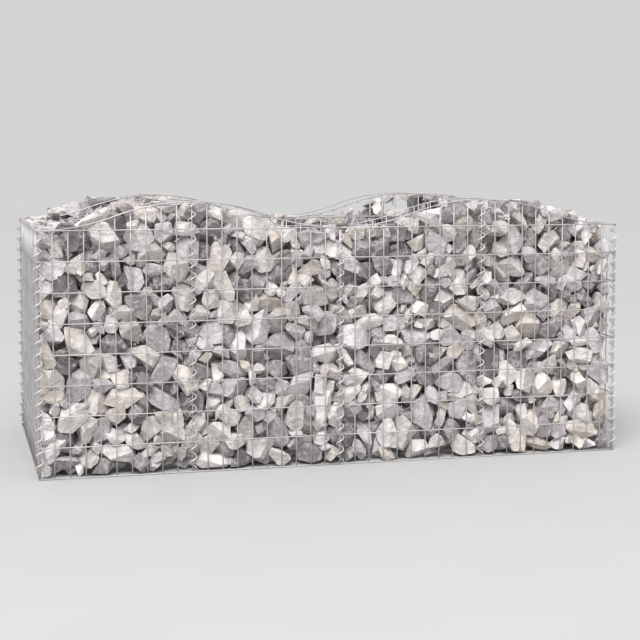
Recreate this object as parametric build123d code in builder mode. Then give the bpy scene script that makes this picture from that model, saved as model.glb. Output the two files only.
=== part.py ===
"""Arched gabion raised bed: a double-skinned wire basket filled with stone, open in the middle.

Welded mesh panels stand on both faces of a stone wall that runs round an open planting space.
The two long walls rise in one hump a bay. Spiral binders are wound round the edge wires at the
corners, and down the long faces at the middle and ends of each bay.

X runs along the long walls, Y from front to back and Z up. The origin is on the ground, in
the middle of the bed. Sizes are in millimetres.
"""

import os
from math import cos, radians, sin

from build123d import *

# Bed
bay_length = 1000.0
depth = 1000.0
height = 800.0
arch_rise = 90.0
wall_thickness = 150.0

# Welded mesh: square bars stand for the round wires
wire = 4.0
upright_pitch = 50.0
rail_pitch = 100.0
lining_pitch = 175.0

# Spiral binders: each turn is six straight runs of three-sided bar
binder_radius = 13.0
binder_wire = 4.8
turns_per_cell = 2.5
runs_per_turn = 6
stone_clearance = 3.0

# Worked out from the sizes above
length = 2 * bay_length
mesh = 2 * wire
cell_height = (height - wire) / round((height - wire) / rail_pitch)
binder_pitch = cell_height / turns_per_cell
groove_radius = binder_radius + binder_wire / 2 + stone_clearance
left_hump = (-length / 2, 0)
right_hump = (0, length / 2)

# Faces of the stone, and of the open space inside the bed
stone_x = length / 2 - mesh
stone_y = depth / 2 - mesh
inside_x = length / 2 - wall_thickness
inside_y = depth / 2 - wall_thickness
lining_x = inside_x + mesh
lining_y = inside_y + mesh

# Binder axes: between the two edge wires at a corner, and on an upright along a face
corner_x = length / 2 - wire
corner_y = depth / 2 - mesh
face_y = depth / 2 - 1.5 * wire
rail_y = depth / 2 - wire / 2
crest = height + arch_rise

# name: (axis x, axis y, y of the rail it stands on, angle at rail height, angle of its leg, top)
binders = {
    "front_left_corner_binder": (-corner_x, -corner_y, -rail_y, 210, 330, height),
    "front_left_binder": (-bay_length / 2, -face_y, -rail_y, 270, 330, crest),
    "front_middle_binder": (0, -face_y, -rail_y, 270, 330, height),
    "front_right_binder": (bay_length / 2, -face_y, -rail_y, 270, 330, crest),
    "front_right_corner_binder": (corner_x, -corner_y, -rail_y, 330, 210, height),
    "back_left_corner_binder": (-corner_x, corner_y, rail_y, 150, 30, height),
    "back_left_binder": (-bay_length / 2, face_y, rail_y, 90, 150, crest),
    "back_middle_binder": (0, face_y, rail_y, 90, 150, height),
    "back_right_binder": (bay_length / 2, face_y, rail_y, 90, 150, crest),
    "back_right_corner_binder": (corner_x, corner_y, rail_y, 30, 150, height),
}


def even_places(first, last, pitch):
    """Places from first to last, both included, as near to one pitch apart as comes out even."""
    count = max(1, round((last - first) / pitch))
    return [first + (last - first) * step / count for step in range(count + 1)]


def draw_arch(hump):
    """Draw the arch wire's centre line over one bay: a hump of four equal arcs."""
    start, end = hump
    quarter = (end - start) / 4
    low = height - wire / 2
    top = (start + 2 * quarter, low + arch_rise)
    rise_foot = TangentArc((start, low), (start + quarter, low + arch_rise / 2), tangent=(1, 0))
    TangentArc(rise_foot @ 1, top, tangent=rise_foot % 1)
    fall_crown = TangentArc(top, (end - quarter, low + arch_rise / 2), tangent=(1, 0))
    TangentArc(fall_crown @ 1, (end, low), tangent=fall_crown % 1)


def draw_under_arch(hump):
    """Draw the outline of all that lies between the ground and the arch wire's centre line."""
    start, end = hump
    low = height - wire / 2
    draw_arch(hump)
    Polyline((end, low), (end, 0), (start, 0), (start, low))


def clip_to(start, end):
    """Keep only what of the sketch lies between start and end."""
    with Locations(((start + end) / 2, crest / 2)):
        Rectangle(end - start, 2 * crest, mode=Mode.INTERSECT)


def weld_plane(normal_x, normal_y, distance):
    """The plane between the uprights and the rails of a skin, seen from its rail side."""
    return Plane(
        origin=(normal_x * distance, normal_y * distance, 0),
        x_dir=(-normal_y, normal_x, 0),
        z_dir=(normal_x, normal_y, 0),
    )


def welded_panel(plane, start, end, pitch, hump=None):
    """A flat mesh panel, with its uprights behind the weld plane and its rails in front of it.

    A panel with a hump has an arch wire above its top rail, and uprights that reach up to it.
    """
    with BuildPart() as panel:
        with BuildSketch(plane) as uprights:
            for place in even_places(start + wire / 2, end - wire / 2, pitch):
                with Locations((place, 0)):
                    Rectangle(wire, crest if hump else height, align=(Align.CENTER, Align.MIN))
            if hump:
                with BuildLine():
                    draw_under_arch(hump)
                make_face(mode=Mode.INTERSECT)
        extrude(amount=-wire)
        with BuildSketch(plane) as rails:
            if hump:
                with BuildLine() as arch:
                    draw_arch(hump)
                trace(arch.edges(), line_width=wire)
                clip_to(start, end)
            for rail_height in even_places(wire / 2, height - wire / 2, rail_pitch):
                with Locations(((start + end) / 2, rail_height)):
                    Rectangle(end - start, wire)
        extrude(amount=wire)
    return panel.part


def stone_fill(start, end, front, back, hump=None):
    """The stone between two skins as one mass, with a groove wherever a binder passes."""
    with BuildPart() as fill:
        with BuildSketch(Plane.XZ.offset(-back)) as face:
            if hump:
                with BuildLine():
                    draw_under_arch(hump)
                make_face()
                clip_to(start, end)
            else:
                with Locations(((start + end) / 2, 0)):
                    Rectangle(end - start, height, align=(Align.CENTER, Align.MIN))
        extrude(amount=back - front)
        with BuildSketch(Plane.XY) as grooves:
            with Locations(*[(x, y) for x, y, *rest in binders.values()]):
                Circle(groove_radius)
        extrude(amount=crest, mode=Mode.SUBTRACT)
    return fill.part


def spiral_binder(x, y, rail, level_angle, leg_angle, top):
    """A spiral round edge wires. Its leg stands on the bottom rail, and its last run ends free.

    The spiral has the angle level_angle where it passes a rail, so it never meets one.
    """
    rise = binder_pitch / runs_per_turn
    turned = (leg_angle - level_angle) % 360
    start_height = wire / 2 + binder_pitch * turned / 360
    leg_x = x + binder_radius * cos(radians(leg_angle))
    points = [(leg_x, rail, wire), (leg_x, rail, start_height)]
    runs = int((top - wire - binder_wire - start_height) / rise)
    for run in range(1, runs + 1):
        angle = radians(leg_angle + run * 360 / runs_per_turn)
        across = (x + binder_radius * cos(angle), y + binder_radius * sin(angle))
        points.append((*across, start_height + run * rise))
    with BuildPart() as coil:
        with BuildLine() as path:
            Polyline(*points)
        with BuildSketch(Plane(origin=path.line @ 0, z_dir=(0, 0, 1))) as section:
            RegularPolygon(binder_wire / 2, 3)
        sweep(transition=Transition.RIGHT)
    return coil.part


# Weld planes of the skins: those outside face out, and those inside face the open space
front_skin = weld_plane(0, -1, depth / 2 - wire)
back_skin = weld_plane(0, 1, depth / 2 - wire)
left_skin = weld_plane(-1, 0, length / 2 - wire)
right_skin = weld_plane(1, 0, length / 2 - wire)
front_lining = weld_plane(0, 1, -inside_y - wire)
back_lining = weld_plane(0, -1, -inside_y - wire)
left_lining = weld_plane(1, 0, -inside_x - wire)
right_lining = weld_plane(-1, 0, -inside_x - wire)

# On a plane that faces back, the left bay lies on the side of its positive x
pieces = {
    "front_left_panel": welded_panel(front_skin, -length / 2, 0, upright_pitch, left_hump),
    "front_right_panel": welded_panel(front_skin, 0, length / 2, upright_pitch, right_hump),
    "back_left_panel": welded_panel(back_skin, 0, length / 2, upright_pitch, right_hump),
    "back_right_panel": welded_panel(back_skin, -length / 2, 0, upright_pitch, left_hump),
    "left_panel": welded_panel(left_skin, -stone_y, stone_y, upright_pitch),
    "right_panel": welded_panel(right_skin, -stone_y, stone_y, upright_pitch),
    "front_left_lining": welded_panel(front_lining, 0, lining_x, lining_pitch, right_hump),
    "front_right_lining": welded_panel(front_lining, -lining_x, 0, lining_pitch, left_hump),
    "back_left_lining": welded_panel(back_lining, -lining_x, 0, lining_pitch, left_hump),
    "back_right_lining": welded_panel(back_lining, 0, lining_x, lining_pitch, right_hump),
    "left_lining": welded_panel(left_lining, -inside_y, inside_y, lining_pitch),
    "right_lining": welded_panel(right_lining, -inside_y, inside_y, lining_pitch),
    "front_left_stones": stone_fill(-stone_x, 0, -stone_y, -lining_y, left_hump),
    "front_right_stones": stone_fill(0, stone_x, -stone_y, -lining_y, right_hump),
    "back_left_stones": stone_fill(-stone_x, 0, lining_y, stone_y, left_hump),
    "back_right_stones": stone_fill(0, stone_x, lining_y, stone_y, right_hump),
    "left_stones": stone_fill(-stone_x, -lining_x, -lining_y, lining_y),
    "right_stones": stone_fill(lining_x, stone_x, -lining_y, lining_y),
}
for name, place in binders.items():
    pieces[name] = spiral_binder(*place)

os.makedirs("parts", exist_ok=True)
for name, part in pieces.items():
    part.label = name
    export_step(part, f"parts/{name}.step")
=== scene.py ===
# %% [markdown]
# # Arched gabion raised bed
#
# A gabion is a wire basket filled with stone. This one is a garden bed: two skins of welded
# mesh stand 150 mm apart, angular crushed stone fills the space between them, and the middle
# is left open for soil. The long walls rise in one hump a bay.
#
# The measured model is loaded first and is never moved. Everything after it only dresses it:
# round galvanised wires take the place of square bars, and separate stones take the place of
# the solid masses of stone.

# %% Load the measured model
import math
import random

import bmesh
import bpy
from mathutils import Matrix, Vector, kdtree, noise


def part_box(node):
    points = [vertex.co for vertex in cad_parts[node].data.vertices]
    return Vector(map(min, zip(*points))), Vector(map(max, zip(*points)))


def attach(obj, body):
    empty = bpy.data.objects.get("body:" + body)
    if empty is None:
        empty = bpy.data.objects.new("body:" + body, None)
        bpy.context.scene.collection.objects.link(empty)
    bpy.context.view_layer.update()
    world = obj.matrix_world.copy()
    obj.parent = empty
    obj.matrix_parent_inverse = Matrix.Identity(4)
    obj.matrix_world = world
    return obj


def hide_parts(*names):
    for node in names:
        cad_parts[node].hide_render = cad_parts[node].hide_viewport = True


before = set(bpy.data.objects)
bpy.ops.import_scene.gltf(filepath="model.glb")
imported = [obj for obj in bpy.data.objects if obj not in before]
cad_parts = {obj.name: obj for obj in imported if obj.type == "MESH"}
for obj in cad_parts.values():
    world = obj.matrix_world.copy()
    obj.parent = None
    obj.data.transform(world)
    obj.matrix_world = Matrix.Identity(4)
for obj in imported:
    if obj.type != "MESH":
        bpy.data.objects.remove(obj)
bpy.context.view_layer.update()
print("measured pieces:", len(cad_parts))

# %% [markdown]
# ## Sizes taken from the measured model
#
# Nothing is fitted by eye. A node's box gives the place of its wires or stones, so the
# dressing follows when the model is packed again with other sizes. A mesh panel is two wires
# thick, because its uprights and rails lie in two layers, and that gives the wire's diameter.

# %% Read the sizes
panel_low, panel_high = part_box("front_left_panel")
stone_low, stone_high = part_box("front_left_stones")
end_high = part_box("left_stones")[1]

WIRE = (panel_high.y - panel_low.y) / 2
HALF_LENGTH = -panel_low.x
HALF_DEPTH = -panel_low.y
BAY = HALF_LENGTH
HEIGHT = end_high.z
CREST = panel_high.z
STONE_X = -stone_low.x
STONE_Y = -stone_low.y
LINING_X = -end_high.x
LINING_Y = -stone_high.y
INSIDE_X = LINING_X - 2 * WIRE
INSIDE_Y = LINING_Y - 2 * WIRE
print(f"wire {WIRE * 1000:.1f} mm, bed {2 * HALF_LENGTH:.2f} x {2 * HALF_DEPTH:.2f} x {CREST:.2f} m")

# %% [markdown]
# ## The line of the arches
#
# The arch wire is bent on a former, so a hump is four equal arcs: out of the dip, over the
# crest and down again. A bay's length and its rise fix the radius of all four. The same line
# gives the tops of the uprights and the top of the stone, so it is kept as a function.

# %% Work out the arches
ARCH_LOW = HEIGHT - WIRE / 2
ARCH_RISE = CREST - HEIGHT
QUARTER = BAY / 4
ARC_RADIUS = (QUARTER ** 2 + (ARCH_RISE / 2) ** 2) / ARCH_RISE


def arch_height(x):
    """Height of the arch wire's centre line at a place along a long wall."""
    from_dip = min(abs(x) % BAY, BAY - abs(x) % BAY)
    if from_dip < QUARTER:
        return ARCH_LOW + ARC_RADIUS - math.sqrt(ARC_RADIUS ** 2 - from_dip ** 2)
    from_crest = BAY / 2 - from_dip
    return ARCH_LOW + ARCH_RISE - ARC_RADIUS + math.sqrt(ARC_RADIUS ** 2 - from_crest ** 2)


print(f"arches rise {ARCH_RISE * 1000:.0f} mm on arcs of {ARC_RADIUS:.2f} m")

# %% [markdown]
# ## Finishing a piece
#
# Every piece ends the same way. Its bmesh becomes one mesh object that stays at the origin,
# with its place in its mesh, so that a pattern on Object coordinates never slides. It rides on
# the only body there is, and it hides the measured nodes that it stands for. Wires are shaded
# smooth to look round. Stones are shaded flat, because a broken face is flat.

# %% Finish a piece
def finish_piece(bm, name, material, replaces=(), smooth=True):
    """Turn a bmesh into a piece of the bed that stands for the named nodes."""
    mesh = bpy.data.meshes.new(name)
    bm.to_mesh(mesh)
    bm.free()
    if smooth:
        mesh.shade_smooth()
    else:
        mesh.shade_flat()
    mesh.materials.append(material)
    piece = bpy.data.objects.new(name, mesh)
    bpy.context.scene.collection.objects.link(piece)
    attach(piece, "root")
    for node in replaces:
        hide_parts(node)
    return piece


# %% [markdown]
# ## Helpers for shader nodes
#
# A material is a tree of nodes. Each of these helpers adds one node, links its inputs and hands
# back its output, so that a material below reads as a list of steps: make a pattern, stretch it
# to the range that is wanted, and tint the colour with it. Scales are in features a metre.

# %% Add shader nodes
def add_noise(tree, vector, scale, detail, roughness=0.5):
    """A noise pattern on the given coordinates. Scale may be a number or a socket."""
    node = tree.nodes.new("ShaderNodeTexNoise")
    node.inputs["Detail"].default_value = detail
    node.inputs["Roughness"].default_value = roughness
    tree.links.new(vector, node.inputs["Vector"])
    if isinstance(scale, (int, float)):
        node.inputs["Scale"].default_value = scale
    else:
        tree.links.new(scale, node.inputs["Scale"])
    return node.outputs["Fac"]


def add_math(tree, operation, first, second=0.0):
    """A math node whose two inputs are sockets or numbers."""
    node = tree.nodes.new("ShaderNodeMath")
    node.operation = operation
    for socket, value in zip(node.inputs, (first, second)):
        if isinstance(value, (int, float)):
            socket.default_value = value
        else:
            tree.links.new(value, socket)
    return node.outputs[0]


def add_range(tree, value, low, high, to_low=0.0, to_high=1.0):
    """Stretch a value from one range to another, held inside it."""
    node = tree.nodes.new("ShaderNodeMapRange")
    node.inputs["From Min"].default_value = low
    node.inputs["From Max"].default_value = high
    node.inputs["To Min"].default_value = to_low
    node.inputs["To Max"].default_value = to_high
    tree.links.new(value, node.inputs["Value"])
    return node.outputs["Result"]


def add_mix(tree, amount, first, second, blend="MIX"):
    """Mix two colours by an amount. Each may be a socket, a number or a colour."""
    node = tree.nodes.new("ShaderNodeMix")
    node.data_type = "RGBA"
    node.blend_type = blend
    for label, value in (("Factor", amount), ("A", first), ("B", second)):
        socket = next(s for s in node.inputs if s.name == label and s.enabled)
        if isinstance(value, (int, float, tuple)):
            socket.default_value = value
        else:
            tree.links.new(value, socket)
    return next(s for s in node.outputs if s.enabled)


def tint(tree, colour, value, darkest, lightest):
    """Darken or lighten a colour by a value between 0 and 1."""
    return add_mix(tree, 1.0, colour, add_range(tree, value, 0.0, 1.0, darkest, lightest), "MULTIPLY")


# %% [markdown]
# ## Shader group: patches and grain
#
# Stone and zinc both vary over their surface in the same two ways: broad cloudy patches and
# fine grain. The effect is built once, as a group with named inputs and outputs, and each
# material gives it its own scales. A group puts out only values. The shader stays in the
# material, where the export can read it.

# %% Build the group
PATCH_RANGE = (0.3, 0.7)
GRAIN_RANGE = (0.25, 0.75)


def patches_and_grain():
    """Broad patches and fine grain, each as a value between 0 and 1."""
    group = bpy.data.node_groups.new("Patches and grain", "ShaderNodeTree")
    group.interface.new_socket("Vector", in_out="INPUT", socket_type="NodeSocketVector")
    for label in ("Patch scale", "Grain scale"):
        group.interface.new_socket(label, in_out="INPUT", socket_type="NodeSocketFloat")
    for label in ("Patches", "Grain"):
        group.interface.new_socket(label, in_out="OUTPUT", socket_type="NodeSocketFloat")
    given = group.nodes.new("NodeGroupInput").outputs
    result = group.nodes.new("NodeGroupOutput").inputs
    patches = add_noise(group, given["Vector"], given["Patch scale"], detail=4.0)
    grain = add_noise(group, given["Vector"], given["Grain scale"], detail=3.0, roughness=0.6)
    group.links.new(add_range(group, patches, *PATCH_RANGE), result["Patches"])
    group.links.new(add_range(group, grain, *GRAIN_RANGE), result["Grain"])
    return group


PATCHES_AND_GRAIN = patches_and_grain()
print("shader group:", PATCHES_AND_GRAIN.name)


def add_patches(tree, vector, patch_scale, grain_scale):
    """Place the group in a material, and give its patches and its grain."""
    node = tree.nodes.new("ShaderNodeGroup")
    node.node_tree = PATCHES_AND_GRAIN
    tree.links.new(vector, node.inputs["Vector"])
    node.inputs["Patch scale"].default_value = patch_scale
    node.inputs["Grain scale"].default_value = grain_scale
    return node.outputs["Patches"], node.outputs["Grain"]


# %% [markdown]
# ## Starting a material
#
# Every material starts from the Principled shader and from Object coordinates, and most have a
# fine relief. Bump only bends the light, which is enough for grain and chips under a
# millimetre. Larger forms are modelled.

# %% Start a material and give it relief
def new_material(name):
    """A material with its Principled shader, and Object coordinates to build on."""
    material = bpy.data.materials.new(name)
    material.use_nodes = True
    tree = material.node_tree
    place = tree.nodes.new("ShaderNodeTexCoord").outputs["Object"]
    return material, tree, tree.nodes["Principled BSDF"], place


def add_bump(tree, shader, height, distance):
    """Raise the surface by a height map, over the given distance in metres."""
    bump = tree.nodes.new("ShaderNodeBump")
    bump.inputs["Distance"].default_value = distance
    tree.links.new(height, bump.inputs["Height"])
    tree.links.new(bump.outputs["Normal"], shader.inputs["Normal"])


# %% [markdown]
# ## Galvanised wire
#
# The wire is drawn steel dipped in zinc. It is bright but not mirror-like: the zinc freezes in small
# grains that catch the light differently. Its colour is mixed in broad patches from a brighter and a
# duller tone. These patches are partly zinc that dulls out of doors and partly painted light and shade
# along the wires. Weathered zinc scatters much of the light, so it is only partly metallic here. The
# spirals get a whiter copy of the same zinc, a painted light that lifts their shaded turns, so there
# are two finishes from one recipe.

# %% Material: galvanised wire
ZINC_PATCH_SCALE = 9.0
ZINC_GRAIN_SCALE = 420.0
ZINC_FLECK = (0.82, 1.08)
ZINC_ROUGHNESS = (0.42, 0.60)
ZINC_RELIEF = 0.0002


def galvanised_wire(name, metallic, bright_and_lit, dull_and_shaded):
    """Zinc with grains a few millimetres wide, and dull patches that are partly painted light and
    shade.
    """
    material, tree, shader, place = new_material(name)
    patches, grain = add_patches(tree, place, ZINC_PATCH_SCALE, ZINC_GRAIN_SCALE)
    # The patches mix a brighter and a duller zinc: partly real dull zinc, partly painted light and
    # shade.
    colour = tint(tree, add_mix(tree, patches, bright_and_lit, dull_and_shaded), grain, *ZINC_FLECK)
    tree.links.new(colour, shader.inputs["Base Color"])
    tree.links.new(add_range(tree, patches, 0.0, 1.0, *ZINC_ROUGHNESS), shader.inputs["Roughness"])
    shader.inputs["Metallic"].default_value = metallic
    add_bump(tree, shader, grain, ZINC_RELIEF)
    return material


MESH_FINISH = galvanised_wire(
    "galvanised_wire", 0.5, bright_and_lit=(0.61, 0.595, 0.60, 1.0), dull_and_shaded=(0.42, 0.408, 0.414, 1.0)
)
# A whiter copy of the zinc for the spirals: painted light that lifts their shaded turns.
BINDER_PAINTED_LIGHT_ZINC = galvanised_wire(
    "binder_wire_painted_light", 0.3, bright_and_lit=(0.74, 0.73, 0.725, 1.0), dull_and_shaded=(0.60, 0.59, 0.585, 1.0)
)
print("wire finishes:", MESH_FINISH.name, BINDER_PAINTED_LIGHT_ZINC.name)

# %% [markdown]
# ## One wire
#
# A panel is drawn wire, cut straight and welded where it crosses. A wire could be a curve with
# a bevel, but the cone operator with equal radii gives a closed bar in one step. It is cut into
# a few lengths, whose rings are then shifted by under a millimetre, as drawn wire wanders. Dead
# straight wires look like a drawing. The noise that shifts them starts from the clock unless it
# is given a seed, and then every run would bend the wires in another way.

# %% Make one wire
WIRE_SIDES = 8
WIRE_LENGTHS = 7
WANDER = 0.0009
WANDER_SCALE = 5.0
SEED_STEP = 7.31
NOISE_SLICE = 0.5
NOISE_SEED = 41
SAME_WAY = 0.99
noise.seed_set(NOISE_SEED)


def edges_of(verts):
    """The edges that meet at some vertices, each once and in a steady order."""
    return list(dict.fromkeys(edge for vert in verts for edge in vert.link_edges))


def add_wire(bm, start, end, seed):
    """A round wire between two points, which wanders a little off its line."""
    run = end - start
    along = run.normalized()
    turn = run.to_track_quat("Z", "Y").to_matrix().to_4x4()
    made = bmesh.ops.create_cone(
        bm, cap_ends=True, segments=WIRE_SIDES, radius1=WIRE / 2, radius2=WIRE / 2,
        depth=run.length, matrix=Matrix.Translation((start + end) / 2) @ turn,
    )
    sides = [edge for edge in edges_of(made["verts"])
             if abs((edge.verts[1].co - edge.verts[0].co).normalized().dot(along)) > SAME_WAY]
    cut = bmesh.ops.subdivide_edges(bm, edges=sides, cuts=WIRE_LENGTHS - 1)
    for vert in dict.fromkeys(cut["geom_inner"]):
        if isinstance(vert, bmesh.types.BMVert):
            reach = (vert.co - start).dot(along)
            sample = Vector((reach * WANDER_SCALE, seed * SEED_STEP, NOISE_SLICE))
            drift = noise.noise_vector(sample)
            drift -= along * drift.dot(along)
            vert.co += drift * WANDER
            vert.co.z = max(0.0, vert.co.z)


# %% [markdown]
# ## Arch wires
#
# Each arc of the arch wire is a bent round bar, and the spin operator makes one best: a ring of
# vertices is turned about the arc's centre in steps, and the last ring starts the next arc. The
# wire is spun over a whole bay. Bisect then cuts it off at both ends of the panel, because the
# lining's panels are shorter than a bay, and its open ends are filled.

# %% Bend an arch wire
ARC_STEPS = 12
SNAP = 1e-5


def fill_ends(bm):
    """Close the open ends of the wires in a mesh."""
    open_ends = [edge for edge in bm.edges if edge.is_boundary]
    bmesh.ops.holes_fill(bm, edges=open_ends, sides=WIRE_SIDES)


def add_arch(bm, hump_start, y, clip_low, clip_high):
    """An arch wire over one bay, cut off at both ends. It has to come first in its mesh."""
    sweep = math.asin(QUARTER / ARC_RADIUS)
    foot = Matrix.Translation((hump_start, y, ARCH_LOW)) @ Matrix.Rotation(math.pi / 2, 4, "Y")
    ring = bmesh.ops.create_circle(bm, segments=WIRE_SIDES, radius=WIRE / 2, matrix=foot)
    last = edges_of(ring["verts"])
    dip_centre = ARCH_LOW + ARC_RADIUS
    crest_centre = ARCH_LOW + ARCH_RISE - ARC_RADIUS
    arcs = (
        (0, dip_centre, -sweep), (BAY / 2, crest_centre, sweep),
        (BAY / 2, crest_centre, sweep), (BAY, dip_centre, -sweep),
    )
    for across, z, turn in arcs:
        spun = bmesh.ops.spin(bm, geom=last, cent=(hump_start + across, y, z), axis=(0, 1, 0),
                              angle=turn, steps=ARC_STEPS, use_duplicate=False)
        last = [item for item in spun["geom_last"] if isinstance(item, bmesh.types.BMEdge)]
    for x, outward in ((clip_low, (-1, 0, 0)), (clip_high, (1, 0, 0))):
        bmesh.ops.bisect_plane(bm, geom=bm.verts[:] + bm.edges[:] + bm.faces[:], dist=SNAP,
                               plane_co=(x, 0, 0), plane_no=outward, clear_outer=True)
    fill_ends(bm)


# %% [markdown]
# ## Welded mesh panels
#
# The uprights of a panel lie in one layer and its rails in another, and they are welded where
# they cross. The uprights are on the side of the stone, so it can't push the rails off. Twelve
# panels differ only in their place, their size and whether they have an arch, so one function
# makes them all, in any of the four directions. The two layers aren't merged in the mesh.

# %% Build a panel
UPRIGHT_PITCH = 0.050
RAIL_PITCH = 0.100
SEED_SPREAD = 50


def even_places(first, last, pitch):
    """Places from first to last, both included, as near to one pitch apart as comes out even."""
    count = max(1, round((last - first) / pitch))
    return [first + (last - first) * step / count for step in range(count + 1)]


def make_panel(name, node, along_x, weld, outward, first, last, hump_start=None):
    """A welded panel: uprights on the stone side of the weld plane, and rails on the other."""
    bm = bmesh.new()
    rng = random.Random(name)
    behind = -outward * WIRE / 2

    def point(run, off, z):
        """A point of the panel: along it, off its weld plane and above the ground."""
        return Vector((run, weld + off, z)) if along_x else Vector((weld + off, run, z))

    if hump_start is not None:
        add_arch(bm, hump_start, weld - behind, first, last)
    for place in even_places(first + WIRE / 2, last - WIRE / 2, UPRIGHT_PITCH):
        top = HEIGHT if hump_start is None else arch_height(place)
        add_wire(bm, point(place, behind, 0), point(place, behind, top), rng.random() * SEED_SPREAD)
    for z in even_places(WIRE / 2, HEIGHT - WIRE / 2, RAIL_PITCH):
        add_wire(bm, point(first, -behind, z), point(last, -behind, z), rng.random() * SEED_SPREAD)
    bmesh.ops.recalc_face_normals(bm, faces=bm.faces)
    piece = finish_piece(bm, name, MESH_FINISH, [node])
    print(name, len(piece.data.polygons), "faces")


# %% [markdown]
# ### The twelve panels
#
# The outer skin has one panel a bay on each long side and one at each end. The lining repeats
# them one wall's thickness further in, facing the open middle.

# %% Build the twelve panels
FRONT = -(HALF_DEPTH - WIRE)
LEFT = -(HALF_LENGTH - WIRE)
FRONT_LINING = -(INSIDE_Y + WIRE)
LEFT_LINING = -(INSIDE_X + WIRE)
for side, y, outward in (("front", FRONT, -1), ("back", -FRONT, 1)):
    make_panel(f"{side}_left_mesh", f"{side}_left_panel", True, y, outward, -BAY, 0, -BAY)
    make_panel(f"{side}_right_mesh", f"{side}_right_panel", True, y, outward, 0, BAY, 0)
for side, y, outward in (("front", FRONT_LINING, 1), ("back", -FRONT_LINING, -1)):
    make_panel(f"{side}_left_lining_mesh", f"{side}_left_lining", True, y, outward, -LINING_X, 0, -BAY)
    make_panel(f"{side}_right_lining_mesh", f"{side}_right_lining", True, y, outward, 0, LINING_X, 0)
for side, x, outward in (("left", LEFT, -1), ("right", -LEFT, 1)):
    make_panel(f"{side}_mesh", f"{side}_panel", False, x, outward, -STONE_Y, STONE_Y)
for side, x, outward in (("left", LEFT_LINING, 1), ("right", -LEFT_LINING, -1)):
    make_panel(f"{side}_lining_mesh", f"{side}_lining", False, x, outward, -INSIDE_Y, INSIDE_Y)

# %% [markdown]
# ## Spiral binders
#
# A binder is a loose coil of wire that is screwed down round the edge wires of two panels, and
# it is what holds the basket together. A Screw modifier could make it, but the spin operator
# with a step along its axis winds it in one call. The ring that it turns is tilted to the
# coil's slope, so that the wire stays round. The coil has the same angle wherever it passes a
# rail, and so it never runs through one. It ends after a whole number of sixths of a turn, as
# the measured one does.

# %% Wind a binder
BINDER_RADIUS = 0.0116
TURNS_PER_CELL = 2.5
STEPS_PER_TURN = 14
ENDS_PER_TURN = 6
CELL = (HEIGHT - WIRE) / round((HEIGHT - WIRE) / RAIL_PITCH)
BINDER_PITCH = CELL / TURNS_PER_CELL
BINDER_FOOT = 3 * WIRE


def wind_binder(name, x, y, level_angle, top, nodes=()):
    """A spiral about an upright axis. It has the level angle wherever it passes a rail."""
    turns = int((top - 2 * WIRE - BINDER_FOOT) / BINDER_PITCH * ENDS_PER_TURN) / ENDS_PER_TURN
    steps = round(turns * STEPS_PER_TURN)
    lead = BINDER_FOOT - WIRE / 2
    begin = math.radians(level_angle) + 2 * math.pi * lead / BINDER_PITCH
    slope = math.atan2(BINDER_PITCH, 2 * math.pi * BINDER_RADIUS)
    ring = (
        Matrix.Translation((x, y, BINDER_FOOT)) @ Matrix.Rotation(begin, 4, "Z")
        @ Matrix.Translation((BINDER_RADIUS, 0, 0)) @ Matrix.Rotation(slope - math.pi / 2, 4, "X")
    )
    bm = bmesh.new()
    made = bmesh.ops.create_circle(bm, segments=WIRE_SIDES, radius=WIRE / 2, matrix=ring)
    bmesh.ops.spin(bm, geom=edges_of(made["verts"]), cent=(x, y, 0), axis=(0, 0, 1),
                   angle=2 * math.pi * turns, dvec=(0, 0, BINDER_PITCH * turns / steps),
                   steps=steps, use_duplicate=False)
    fill_ends(bm)
    bmesh.ops.recalc_face_normals(bm, faces=bm.faces)
    finish_piece(bm, name, BINDER_PAINTED_LIGHT_ZINC, nodes)


print(f"a binder climbs {BINDER_PITCH * 1000:.1f} mm a turn")

# %% [markdown]
# ### Where the binders stand
#
# There is one at each outer corner, between the edge wires of two panels, and on each long face
# one at the middle and one at the crest of each hump. Four more join the lining at its corners.
# Those stand for no measured node.

# %% Wind all the binders
corner_x, corner_y = HALF_LENGTH - WIRE, HALF_DEPTH - 2 * WIRE
face_y = HALF_DEPTH - 1.5 * WIRE
inner_x, inner_y = INSIDE_X + WIRE, INSIDE_Y + WIRE
BINDERS = {
    "front_left_corner": (-corner_x, -corner_y, 210, HEIGHT),
    "front_right_corner": (corner_x, -corner_y, 330, HEIGHT),
    "back_left_corner": (-corner_x, corner_y, 150, HEIGHT),
    "back_right_corner": (corner_x, corner_y, 30, HEIGHT),
    "front_left": (-BAY / 2, -face_y, 270, CREST),
    "front_middle": (0, -face_y, 270, HEIGHT),
    "front_right": (BAY / 2, -face_y, 270, CREST),
    "back_left": (-BAY / 2, face_y, 90, CREST),
    "back_middle": (0, face_y, 90, HEIGHT),
    "back_right": (BAY / 2, face_y, 90, CREST),
}
INNER_BINDERS = {
    "front_left_inner": (-inner_x, -inner_y, 225, HEIGHT),
    "front_right_inner": (inner_x, -inner_y, 315, HEIGHT),
    "back_left_inner": (-inner_x, inner_y, 135, HEIGHT),
    "back_right_inner": (inner_x, inner_y, 45, HEIGHT),
}
for place, (x, y, angle, top) in BINDERS.items():
    wind_binder(f"{place}_spiral", x, y, angle, top, [f"{place}_binder"])
for place, (x, y, angle, top) in INNER_BINDERS.items():
    wind_binder(f"{place}_spiral", x, y, angle, top)
print("binders wound:", len(BINDERS) + len(INNER_BINDERS))

# %% [markdown]
# ## Ties
#
# Short wires run slantwise from the rails of the long walls back between the stones, and keep
# the skins from bulging. Only their ends show. A straight run is enough, so they are made as
# the wires of the mesh are.

# %% Add the ties
TIE_RUN = Vector((-0.050, 0.100, -0.072))
TIE_RAILS = (2, 5)
TIE_ENDS = (-0.73 * BAY, 0.77 * BAY)


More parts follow.
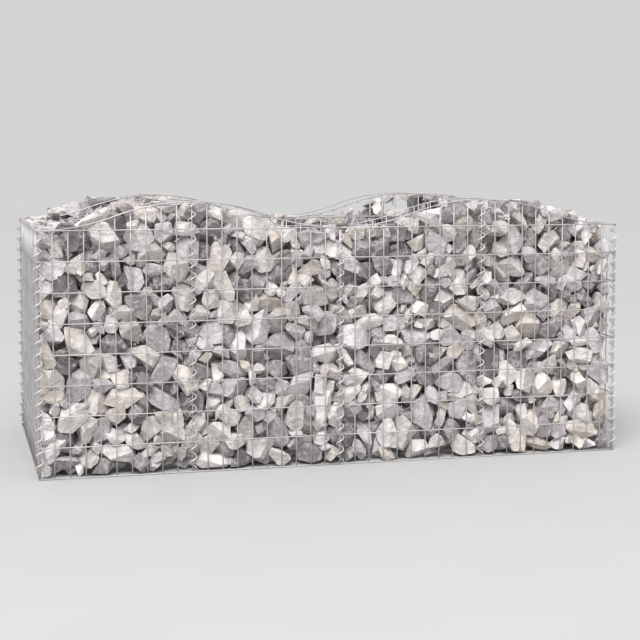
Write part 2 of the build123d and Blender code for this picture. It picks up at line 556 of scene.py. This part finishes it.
def make_ties(name, side):
    """Ties along one long wall, from the rails back into the stone. Side is -1 in front."""
    bm = bmesh.new()
    rails = even_places(WIRE / 2, HEIGHT - WIRE / 2, RAIL_PITCH)
    for step, place in enumerate(even_places(*TIE_ENDS, BAY / 2)):
        for rail in TIE_RAILS:
            start = Vector((place, side * (HALF_DEPTH - 2 * WIRE), rails[rail] - WIRE / 2))
            run = Vector((TIE_RUN.x, -side * TIE_RUN.y, TIE_RUN.z))
            add_wire(bm, start, start + run, step + rail)
    bmesh.ops.recalc_face_normals(bm, faces=bm.faces)
    piece = finish_piece(bm, name, MESH_FINISH)
    print(name, len(piece.data.polygons), "faces")


make_ties("front_ties", -1)
make_ties("back_ties", 1)

# %% [markdown]
# ## Where the stones may lie
#
# Crushed stone is tipped in between the skins. It is heaped on the outer flanks of the humps
# and sinks below the arch wire on the inner ones. A rigid body simulation could fill the walls,
# but thousands of stones take it too long. Instead, these two functions hold each stone's
# centre inside the walls and under the top of the stone.

# %% Bound the stone
HEAP = 0.006
INNER_DIP = 0.036
OUTER_HEAP = 0.028
OUTER_WAVE = 2.4
END_FALL_FROM = 0.90
END_FALL = 0.12
SKIN_CLEAR = 0.66
TOP_CLEAR = 0.8


def wall_top(x, y):
    """Height of the top of the stone at a place in the walls."""
    if abs(y) < LINING_Y:
        return ARCH_LOW
    from_middle = abs(x) / BAY
    if from_middle < 0.5:
        heap = HEAP - INNER_DIP * math.sin(2 * math.pi * from_middle)
    else:
        heap = HEAP + OUTER_HEAP * math.sin(OUTER_WAVE * math.pi * (from_middle - 0.5))
        heap -= END_FALL * max(0.0, from_middle - END_FALL_FROM)
    return arch_height(x) + heap


def keep_in_walls(place, radius):
    """Move a stone's centre back between the skins, if it has left them."""
    clear = radius * SKIN_CLEAR
    x = max(-STONE_X + clear, min(STONE_X - clear, place.x))
    y = max(-STONE_Y + clear, min(STONE_Y - clear, place.y))
    into_x = LINING_X + clear - abs(x)
    into_y = LINING_Y + clear - abs(y)
    if into_x > 0 and into_y > 0:
        if into_x < into_y:
            x = math.copysign(LINING_X + clear, x)
        else:
            y = math.copysign(LINING_Y + clear, y)
    z = max(clear, min(wall_top(x, y) - clear * TOP_CLEAR, place.z))
    return Vector((x, y, z))


inner_gap = arch_height(QUARTER) - wall_top(QUARTER, STONE_Y)
print(f"the stone ends {inner_gap:.3f} m under the arch wire on an inner flank")

# %% [markdown]
# ## Pick the stones
#
# Quarry stone for gabions is sieved, so its sizes come in a known mix: here three bands of
# radii with their shares. Each stone also gets a long axis, because crushed stone is rarely as
# wide as it is long. All draws here come from one seeded generator, so every run gives the same
# wall.

# %% Pick sizes, axes and first places
STONE_SEED = 41
STONE_COUNT = 3500
STONE_SIZES = ((0.014, 0.022, 0.36), (0.022, 0.034, 0.39), (0.034, 0.048, 0.25))
END_SHARE = 0.26


def any_direction(rng):
    """A random direction, even over the sphere."""
    z = rng.uniform(-1, 1)
    turn = rng.uniform(0, 2 * math.pi)
    flat = math.sqrt(1 - z * z)
    return Vector((flat * math.cos(turn), flat * math.sin(turn), z))


def pick_stones(rng):
    """Radii, long axes and loose first places of all the stones."""
    radii = []
    for low, high, share in STONE_SIZES:
        radii += [rng.uniform(low, high) for _ in range(round(STONE_COUNT * share))]
    rng.shuffle(radii)
    axes = [any_direction(rng) for _ in radii]
    places = []
    for radius in radii:
        across = rng.uniform(LINING_Y, STONE_Y) * rng.choice((-1, 1))
        start = Vector((rng.uniform(-STONE_X, STONE_X), across, 0))
        if rng.random() < END_SHARE:
            run_in = abs(across) - LINING_Y + LINING_X
            start = Vector((math.copysign(run_in, across), rng.uniform(-LINING_Y, LINING_Y), 0))
        start.z = rng.uniform(0, wall_top(start.x, start.y))
        places.append(keep_in_walls(start, radius))
    return radii, axes, places


stone_radii, stone_axes, first_places = pick_stones(random.Random(STONE_SEED))
print("stones picked:", len(stone_radii))

# %% [markdown]
# ## Settle the stones
#
# The stones start in random places and overlap. In each round, every stone is pushed away from
# the neighbours that it overlaps, by some of the overlap, and is then put back inside the
# walls. After a few dozen rounds they fill the walls evenly. A search tree finds the
# neighbours, which keeps a round short.

# %% Let the stones settle
SHORT = 0.76
LONG = 1.40
SETTLE_ROUNDS = 36
PUSH = 0.42
SAME_PLACE = 1e-6


def reach_of(radius, axis, direction):
    """How far a stone reaches in a direction: more along its long axis."""
    return radius * (SHORT + (LONG - SHORT) * direction.dot(axis) ** 2)


def grow_tree(places):
    """A search tree over the stones' places."""
    tree = kdtree.KDTree(len(places))
    for index, place in enumerate(places):
        tree.insert(place, index)
    tree.balance()
    return tree


def settle_stones(radii, axes, places):
    """Spread the stones through the walls by letting them push each other apart."""
    widest = max(radii)
    for _ in range(SETTLE_ROUNDS):
        tree = grow_tree(places)
        moved = []
        for index, place in enumerate(places):
            radius, axis = radii[index], axes[index]
            push = Vector()
            for other, near, gap in tree.find_range(place, radius + widest):
                if near != index and gap > SAME_PLACE:
                    away = (place - other) / gap
                    wanted = reach_of(radius, axis, away) + reach_of(radii[near], axes[near], away)
                    if gap < wanted:
                        push += away * (wanted - gap) * PUSH
            moved.append(keep_in_walls(place + push, radius))
        places = moved
    return places


stone_places = settle_stones(stone_radii, stone_axes, first_places)
stone_tree = grow_tree(stone_places)
print("stones settled:", len(stone_places))

# %% [markdown]
# ## Break one stone
#
# Crushed stone is broken, not worn: flat faces, sharp edges, no two alike. A rounded rock would
# be a displaced sphere, but a broken one is a block with pieces knocked off. So each stone
# starts as a cube, the bisect operator breaks random faces off it, and it is stretched along
# its long axis. Corners that come out closer together than a hair are merged. A narrow bevel
# then chips its long sharp edges, which catches the light. A stone has about forty faces,
# because there are thousands of them.

# %% Break and chip a stone
FACETS = 8
FACET_DEPTH = (0.50, 1.02)
LENGTHS = (1.05, 1.35)
WIDTHS = (0.95, 1.25)
THICKNESSES = (0.70, 1.00)
ON_PLANE = 1e-6
CHIP = 0.0012
HAIR = 0.0002
SHARP_LENGTH = 0.012
SHARP_ANGLE = math.radians(35)


def break_off(bm, point, normal):
    """Break all that lies beyond a plane off a stone, and close the face."""
    cut = bmesh.ops.bisect_plane(bm, geom=bm.verts[:] + bm.edges[:] + bm.faces[:], dist=ON_PLANE,
                                 plane_co=point, plane_no=normal, clear_outer=True)
    edges = [item for item in cut["geom_cut"] if isinstance(item, bmesh.types.BMEdge)]
    if len(edges) > 2:
        bmesh.ops.contextual_create(bm, geom=edges)


def break_stone(rng, centre, radius, axis, cuts):
    """One angular stone along an axis, cut back by the planes in cuts, as (point, normal)."""
    bm = bmesh.new()
    bmesh.ops.create_cube(bm, size=2.0)
    stretch = Vector((LONG * rng.uniform(*LENGTHS), rng.uniform(*WIDTHS), rng.uniform(*THICKNESSES)))
    for _ in range(FACETS):
        direction = any_direction(rng)
        break_off(bm, direction * rng.uniform(*FACET_DEPTH), direction)
    roll = Matrix.Rotation(rng.uniform(0, 2 * math.pi), 4, "X")
    turn = axis.to_track_quat("X", "Z").to_matrix().to_4x4() @ roll
    shape = Matrix.Translation(centre) @ turn @ Matrix.Diagonal((stretch * radius).to_4d())
    bmesh.ops.transform(bm, matrix=shape, verts=bm.verts)
    for point, normal in cuts:
        break_off(bm, point, normal)
    bmesh.ops.remove_doubles(bm, verts=bm.verts, dist=HAIR)
    return bm


def chip_edges(bm):
    """Bevel the long sharp edges of a stone."""
    sharp = [edge for edge in bm.edges if edge.calc_length() > SHARP_LENGTH
             and edge.calc_face_angle(0.0) > SHARP_ANGLE]
    bmesh.ops.bevel(bm, geom=sharp, offset=CHIP, offset_type="OFFSET", segments=1,
                    profile=0.5, affect="EDGES", clamp_overlap=True, material=-1)
    bmesh.ops.remove_doubles(bm, verts=bm.verts, dist=SNAP)


# %% [markdown]
# ## Fit a stone to the basket
#
# A stone must not poke through the mesh, the ground or the binders, so it is cut back by planes
# there. A stone that only met the flat plane of the skin would show a flat face to it, like a
# wall. Real stones touch the wires with a corner or an edge. So a stone by a skin is cut by two
# more planes, which lean away from each other and leave a ridge towards the wires.

# %% Planes of the skins and the ground
SKIN_REACH = 1.3
RIDGE_DEPTH = 0.010
RIDGE_SHIFT = 0.4
RIDGE_TILT = (0.10, 0.75)


def wall_faces(x, y):
    """The planes of the skins and the ground by a place in the walls, as (point, normal)."""
    out_x, out_y = math.copysign(1, x), math.copysign(1, y)
    faces = [(Vector((out_x * STONE_X, 0, 0)), Vector((out_x, 0, 0))),
             (Vector((0, out_y * STONE_Y, 0)), Vector((0, out_y, 0)))]
    if abs(y) > LINING_Y and abs(x) < LINING_X:
        faces.append((Vector((0, out_y * LINING_Y, 0)), Vector((0, -out_y, 0))))
    elif abs(x) > LINING_X and abs(y) < LINING_Y:
        faces.append((Vector((out_x * LINING_X, 0, 0)), Vector((-out_x, 0, 0))))
    faces.append((Vector(), Vector((0, 0, -1))))
    return faces


def ridge_planes(centre, radius, rng, point, normal):
    """Two planes that leave a ridge on a stone towards a face of the wall, if it is near."""
    reach = (point - centre).dot(normal)
    if reach >= radius * SKIN_REACH:
        return []
    touch = centre + normal * (reach - rng.uniform(0, RIDGE_DEPTH))
    touch += normal.cross(any_direction(rng)) * radius * RIDGE_SHIFT
    lean = normal.cross(any_direction(rng)).normalized()
    return [(touch, (normal + way * math.tan(rng.uniform(*RIDGE_TILT))).normalized())
            for way in (lean, -lean)]


# %% [markdown]
# ### The top of the heap and the binders
#
# A heap that is cut off along its outline would show a row of flat tops. So the highest stones
# end in a ridge too, each at its own height and lean, and none is higher than the crest. A
# binder needs room for its coil, so each stone near one is cut back by a plane beside it.

# %% Planes of the top and the binders
TOP_LIFT = 0.009
TOP_RAISE = 0.005
TOP_TILT = 0.7
CREST_CLEAR = 0.001
BINDER_NEAR = 0.12
BINDER_CLEAR = 0.0165


def tilted(direction, rng, most):
    """The direction, tilted by up to about the given angle in radians."""
    return (direction + any_direction(rng) * rng.uniform(0, most)).normalized()


def top_planes(centre, radius, rng):
    """Two planes that leave a ridge on top of a stone, and never above the crest."""
    x, y, _ = centre
    top = min(wall_top(x, y) + TOP_RAISE, CREST - CREST_CLEAR - TOP_LIFT)
    top += rng.uniform(-TOP_LIFT, TOP_LIFT)
    lean = tilted(Vector((0, 0, 1)), rng, TOP_TILT)
    ridge = Vector((x + lean.x * radius, y + lean.y * radius, top))
    return [(ridge, lean), (ridge, Vector((-lean.x, -lean.y, lean.z)))]


def binder_planes(centre):
    """Planes that keep a stone off the binders near it."""
    planes = []
    for x, y, *_ in (*BINDERS.values(), *INNER_BINDERS.values()):
        away = Vector((centre.x - x, centre.y - y, 0))
        if away.length < BINDER_NEAR:
            away.normalize()
            planes.append((Vector((x, y, centre.z)) + away * BINDER_CLEAR, -away))
    return planes


def basket_planes(centre, radius, rng):
    """All the planes that fit a stone to the basket around it."""
    planes = []
    for point, normal in wall_faces(centre.x, centre.y):
        planes.append((point, normal))
        planes += ridge_planes(centre, radius, rng, point, normal)
    return planes + top_planes(centre, radius, rng) + binder_planes(centre)


# %% [markdown]
# ## Fit a stone to its neighbours
#
# Two stones that overlap are both cut back to the plane between them, nearer the smaller one.
# That is how the cells of a Voronoi pattern meet, with the stones' sizes taken into account.
# Each of the two draws its own tilt and shift of that plane, so their faces don't match like
# sawn blocks: dark gaps stay open between them, and a slight overlap elsewhere doesn't show.

# %% Planes between neighbours
NEIGHBOUR_SHIFT = (-0.001, 0.009)
NEIGHBOUR_TILT = 0.35
NEIGHBOUR_REACH = 1.6
LEAST_GAP = 1e-4
LARGEST_RADIUS = STONE_SIZES[-1][1]


def neighbour_planes(index, rng):
    """Planes about midway between a stone and its neighbours, by their sizes."""
    centre, radius, axis = stone_places[index], stone_radii[index], stone_axes[index]
    planes = []
    for other, near, gap in stone_tree.find_range(centre, (radius + LARGEST_RADIUS) * LONG):
        if near != index and gap > LEAST_GAP:
            toward = (other - centre) / gap
            own = reach_of(radius, axis, toward)
            theirs = reach_of(stone_radii[near], stone_axes[near], toward)
            between = (gap ** 2 + own ** 2 - theirs ** 2) / (2 * gap) + rng.uniform(*NEIGHBOUR_SHIFT)
            if between < own * NEIGHBOUR_REACH:
                planes.append((centre + toward * between, tilted(toward, rng, NEIGHBOUR_TILT)))
    return planes


print("neighbours within reach of the first stone:", len(neighbour_planes(0, random.Random(0))))

# %% [markdown]
# ## Stone colours
#
# The stone is a pale limestone mix: off-white, light grey with a faint lilac cast, some beige and a
# few dark pieces. Three values are stored on every face. The first picks the stone's colour from a
# ramp. The second lightens or darkens the face at random as painted light and shade, in place of faces
# that catch more or less light. The third moves the pattern, so that no vein runs from one stone into
# the next.

# %% Pick a stone's colour
STONE_COLOURS = (
    (0.00, (0.78, 0.736, 0.724)), (0.22, (0.76, 0.698, 0.652)), (0.38, (0.70, 0.657, 0.678)),
    (0.51, (0.56, 0.518, 0.537)), (0.61, (0.44, 0.406, 0.424)), (0.70, (0.57, 0.540, 0.506)),
    (0.77, (0.33, 0.301, 0.314)), (0.88, (0.66, 0.590, 0.530)), (0.94, (0.21, 0.191, 0.199)),
)
PATTERN_JUMP = (37.0, 37.0, 37.0)


def add_ramp(tree, value, stops):
    """A colour ramp of plain steps with the given stops, as (place, colour)."""
    node = tree.nodes.new("ShaderNodeValToRGB")
    node.color_ramp.interpolation = "CONSTANT"
    marks = node.color_ramp.elements
    while len(marks) < len(stops):
        marks.new(0.5)
    for mark, (place, colour) in zip(marks, stops):
        mark.position = place
        mark.color = (*colour, 1.0)
    tree.links.new(value, node.inputs["Fac"])
    return node.outputs["Color"]


def read_stone_mark(tree):
    """The three values of a face: the stone's pick, the face's painted light and shade, and the
    pattern's move.
    """
    mark = tree.nodes.new("ShaderNodeAttribute")
    mark.attribute_name = "stone_mark"
    parts = tree.nodes.new("ShaderNodeSeparateXYZ")
    tree.links.new(mark.outputs["Vector"], parts.inputs[0])
    return parts.outputs["X"], parts.outputs["Y"], parts.outputs["Z"]


def own_pattern(tree, place, pick, move):
    """Coordinates that start anew in every stone."""
    jump = tree.nodes.new("ShaderNodeCombineXYZ")
    tree.links.new(pick, jump.inputs["X"])
    tree.links.new(move, jump.inputs["Z"])
    moved = tree.nodes.new("ShaderNodeVectorMath")
    moved.operation = "MULTIPLY_ADD"
    moved.inputs[1].default_value = PATTERN_JUMP
    tree.links.new(jump.outputs[0], moved.inputs[0])
    tree.links.new(place, moved.inputs[2])
    return moved.outputs[0]


# %% [markdown]
# ## Crushed stone
#
# A broken face is cloudy, finely speckled and crossed by thin pale veins, and some parts of a heap are
# lighter or darker than others in broad areas. Each face is also lightened or darkened at random, as
# painted light and shade. Each of these is one tint or mix over the stone's own colour.
# The face is rough too: noise gives the broken surface, and a Voronoi pattern gives the small
# dents of single crystals.

# %% Material: crushed stone
CLOUD_SCALE = 26.0
SPECK_SCALE = 420.0
BROAD_TONE_SCALE = 2.2
BROAD_TONE_RANGE = (0.35, 0.65)
VEIN_SCALE = 14.0
BREAK_SCALE = 60.0
DENT_SCALE = 46.0
# Painted light and shade: each face is made lighter or darker at random, in place of faces that catch
# more or less light.
FACE_LIGHT_AND_SHADE = (0.67, 1.14)
CLOUD_TINT = (0.74, 1.14)
BROAD_TONE_TINT = (0.82, 1.14)
SPECK_TINT = (0.78, 1.12)
VEIN_COLOUR = (0.85, 0.80, 0.78, 1.0)
VEIN_WIDTH = 0.05
VEIN_STRENGTH = 0.35
STONE_ROUGHNESS = (0.78, 0.95)
SPECK_SHARE = 0.10
DENT_SHARE = 0.5
STONE_RELIEF = 0.009


def stone_colour(tree, place, own_place, pick, shade, patches, grain):
    """The stone's own colour with its clouds, broad tones, specks and veins, and each face's painted
    light and shade.
    """
    # Broad areas of the wall are made lighter or darker at random.
    broad_tone = add_range(tree, add_noise(tree, place, BROAD_TONE_SCALE, detail=2.0), *BROAD_TONE_RANGE)
    # The first tint, by the face's shade, is painted light and shade.
    tints = (
        (shade, FACE_LIGHT_AND_SHADE), (patches, CLOUD_TINT), (broad_tone, BROAD_TONE_TINT), (grain, SPECK_TINT),
    )
    colour = add_ramp(tree, pick, STONE_COLOURS)
    for value, span in tints:
        colour = tint(tree, colour, value, *span)
    wave = add_noise(tree, own_place, VEIN_SCALE, detail=6.0, roughness=0.7)
    from_middle = add_math(tree, "ABSOLUTE", add_math(tree, "SUBTRACT", wave, 0.5))
    vein = add_range(tree, from_middle, 0.0, VEIN_WIDTH, VEIN_STRENGTH, 0.0)
    return add_mix(tree, vein, colour, VEIN_COLOUR)


def stone_relief(tree, own_place, grain):
    """The height of a broken face, with its specks and its dents."""
    dents = tree.nodes.new("ShaderNodeTexVoronoi")
    dents.inputs["Scale"].default_value = DENT_SCALE
    tree.links.new(own_place, dents.inputs["Vector"])
    height = add_noise(tree, own_place, BREAK_SCALE, detail=6.0, roughness=0.6)
    height = add_math(tree, "ADD", height, add_math(tree, "MULTIPLY", grain, SPECK_SHARE))
    dented = add_math(tree, "MULTIPLY", dents.outputs["Distance"], DENT_SHARE)
    return add_math(tree, "ADD", height, dented)


def crushed_stone():
    """Broken limestone, coloured stone by stone."""
    material, tree, shader, place = new_material("crushed_stone")
    # The shade read here is painted light and shade, one random value a face.
    pick, shade, move = read_stone_mark(tree)
    own_place = own_pattern(tree, place, pick, move)
    patches, grain = add_patches(tree, own_place, CLOUD_SCALE, SPECK_SCALE)
    colour = stone_colour(tree, place, own_place, pick, shade, patches, grain)
    tree.links.new(colour, shader.inputs["Base Color"])
    tree.links.new(add_range(tree, grain, 0.0, 1.0, *STONE_ROUGHNESS), shader.inputs["Roughness"])
    add_bump(tree, shader, stone_relief(tree, own_place, grain), STONE_RELIEF)
    return material


STONE_FINISH = crushed_stone()
print("stone colours:", len(STONE_COLOURS))

# %% [markdown]
# ## Lay the stones in the walls
#
# Thousands of separate objects would be slow to draw and to move, so the stones of each wall
# are joined in one mesh as they are broken. Every stone has its own seeded generator, so a
# change to one leaves the others as they are. A stone that is cut down to a flake is left out.
# The marks for the colours and for each face's painted light and shade are gathered along the way, one
# a face, and stored on the finished mesh.

# %% Break all the stones and lay them
SEED_SPAN = 100000
FLAKE = 5e-8


def wall_of(place):
    """The name of the mass of stone that a place lies in."""
    side = "left" if place.x < 0 else "right"
    if abs(place.y) < LINING_Y:
        return f"{side}_stones"
    return f"{'front' if place.y < 0 else 'back'}_{side}_stones"


def make_stone(index, rng):
    """Break one stone to fit its neighbours and the basket."""
    centre, radius = stone_places[index], stone_radii[index]
    cuts = neighbour_planes(index, rng) + basket_planes(centre, radius, rng)
    return break_stone(rng, centre, radius, stone_axes[index], cuts)


def lay_wall(wall, members):
    """Break the stones of one wall and join them in one piece, with a mark on every face."""
    whole = bmesh.new()
    spare = bpy.data.meshes.new("one_stone")
    marks = []
    for index in members:
        rng = random.Random(STONE_SEED * SEED_SPAN + index)
        stone = make_stone(index, rng)
        if len(stone.faces) > 3 and stone.calc_volume() > FLAKE:
            chip_edges(stone)
            pick, move = rng.random(), rng.random()
            # The middle value is painted light and shade: a random lightening or darkening of each
            # face.
            marks += [(pick, rng.random(), move) for _ in stone.faces]
            stone.to_mesh(spare)
            whole.from_mesh(spare)
        stone.free()
    bpy.data.meshes.remove(spare)
    name = wall.replace("stones", "rocks")
    piece = finish_piece(whole, name, STONE_FINISH, [wall], smooth=False)
    attribute = piece.data.attributes.new("stone_mark", "FLOAT_VECTOR", "FACE")
    attribute.data.foreach_set("vector", [value for mark in marks for value in mark])
    print(name, len(members), "stones,", len(piece.data.polygons), "faces")


walls = {}
for index, place in enumerate(stone_places):
    walls.setdefault(wall_of(place), []).append(index)
for wall, members in sorted(walls.items()):
    lay_wall(wall, members)

# %% [markdown]
# ## Floor
#
# A plain pale floor takes the bed's shadow. A single grid face is enough, since nothing bends
# it. A faint mottle keeps it from being one flat colour. It lies a hair under the ground, so
# that it never flickers against the lowest wires.

# %% Floor
FLOOR_REACH = 60.0
FLOOR_DROP = 0.001
FLOOR_COLOURS = ((0.47, 0.47, 0.466, 1.0), (0.50, 0.50, 0.496, 1.0))
FLOOR_ROUGHNESS = 0.8
MOTTLE_SCALE = 3.0


def make_floor():
    """A wide pale floor with a faint mottle."""
    bm = bmesh.new()
    bmesh.ops.create_grid(bm, x_segments=1, y_segments=1, size=FLOOR_REACH)
    mesh = bpy.data.meshes.new("floor")
    bm.to_mesh(mesh)
    bm.free()
    floor = bpy.data.objects.new("floor", mesh)
    floor.location.z = -FLOOR_DROP
    bpy.context.scene.collection.objects.link(floor)
    material, tree, shader, place = new_material("pale_floor")
    mottle = add_noise(tree, place, MOTTLE_SCALE, detail=3.0)
    tree.links.new(add_mix(tree, mottle, *FLOOR_COLOURS), shader.inputs["Base Color"])
    shader.inputs["Roughness"].default_value = FLOOR_ROUGHNESS
    mesh.materials.append(material)
    print(f"floor of {2 * FLOOR_REACH:.0f} m square")


make_floor()

# %% [markdown]
# ## Light
#
# The light is that of a bright overcast day: a very soft sun from the front left, so that
# broken faces read as light and dark, a large square lamp that lifts the front a little, and an
# even light from the sky. The world shows a pale backdrop to the camera and in mirrors, at the
# tone of the floor's far end, and gives its even light to all the rest.

# %% Light
KEY_PLACE = Vector((-1.2, -5.0, 6.0))
KEY_AIM = Vector((0, 0, HEIGHT / 2))
SKY_SOURCE = Vector((-0.40, -0.75, 1.0))


def add_light(light, turn, power, place=(0, 0, 0)):
    """Hang a lamp at a place, turned and with its power."""
    light.energy = power
    lamp = bpy.data.objects.new(light.name, light)
    lamp.location = place
    lamp.rotation_euler = turn.to_euler()
    bpy.context.scene.collection.objects.link(lamp)


def light_world(backdrop, ambient):
    """A pale backdrop for camera, mirror and glass rays, and an even light for the rest."""
    world = bpy.data.worlds.new("studio")
    bpy.context.scene.world = world
    world.use_nodes = True
    tree = world.node_tree
    tree.nodes.clear()
    rays = tree.nodes.new("ShaderNodeLightPath").outputs
    seen = add_math(tree, "MAXIMUM", rays["Is Camera Ray"], rays["Is Glossy Ray"])
    seen = add_math(tree, "MAXIMUM", seen, rays["Is Transmission Ray"])
    shade = tree.nodes.new("ShaderNodeBackground")
    shade.inputs["Color"].default_value = (1.0, 1.0, 1.0, 1.0)
    tree.links.new(add_range(tree, seen, 0.0, 1.0, ambient, backdrop), shade.inputs["Strength"])
    out = tree.nodes.new("ShaderNodeOutputWorld")
    tree.links.new(shade.outputs[0], out.inputs["Surface"])


key = bpy.data.lights.new("key", "AREA")
key.size = 2.2
add_light(key, (KEY_AIM - KEY_PLACE).to_track_quat("-Z", "Y"), power=150, place=KEY_PLACE)
sky = bpy.data.lights.new("sky", "SUN")
sky.angle = 0.6
add_light(sky, SKY_SOURCE.to_track_quat("Z", "Y"), power=2.5)
light_world(backdrop=0.655, ambient=0.72)
print("lamps:", key.name, sky.name)

# %% [markdown]
# ## Camera
#
# The camera stands a little to the left of the bed, above its top, and looks slightly down. Its
# place and its lens were solved from the corners and the rails of the front, so that the bed
# lies in the frame as it does in the photograph. A small downward shift of the lens keeps the
# corner wires close to upright.

# %% Camera
CAMERA_PLACE = (-1.2813, -5.1834, 1.0303)
CAMERA_YAW = 14.484
CAMERA_PITCH = 3.858
LENS = 82.11
LENS_SHIFT = -0.1
lens = bpy.data.cameras.new("camera")
lens.sensor_width = 36.0
lens.lens = LENS
lens.shift_y = LENS_SHIFT
camera = bpy.data.objects.new("camera", lens)
camera.location = CAMERA_PLACE
camera.rotation_euler = (math.radians(90 - CAMERA_PITCH), 0, math.radians(-CAMERA_YAW))
bpy.context.scene.collection.objects.link(camera)
bpy.context.scene.camera = camera
bpy.context.scene.view_settings.view_transform = "Standard"
print(f"camera with a {LENS:.0f} mm lens at", CAMERA_PLACE)
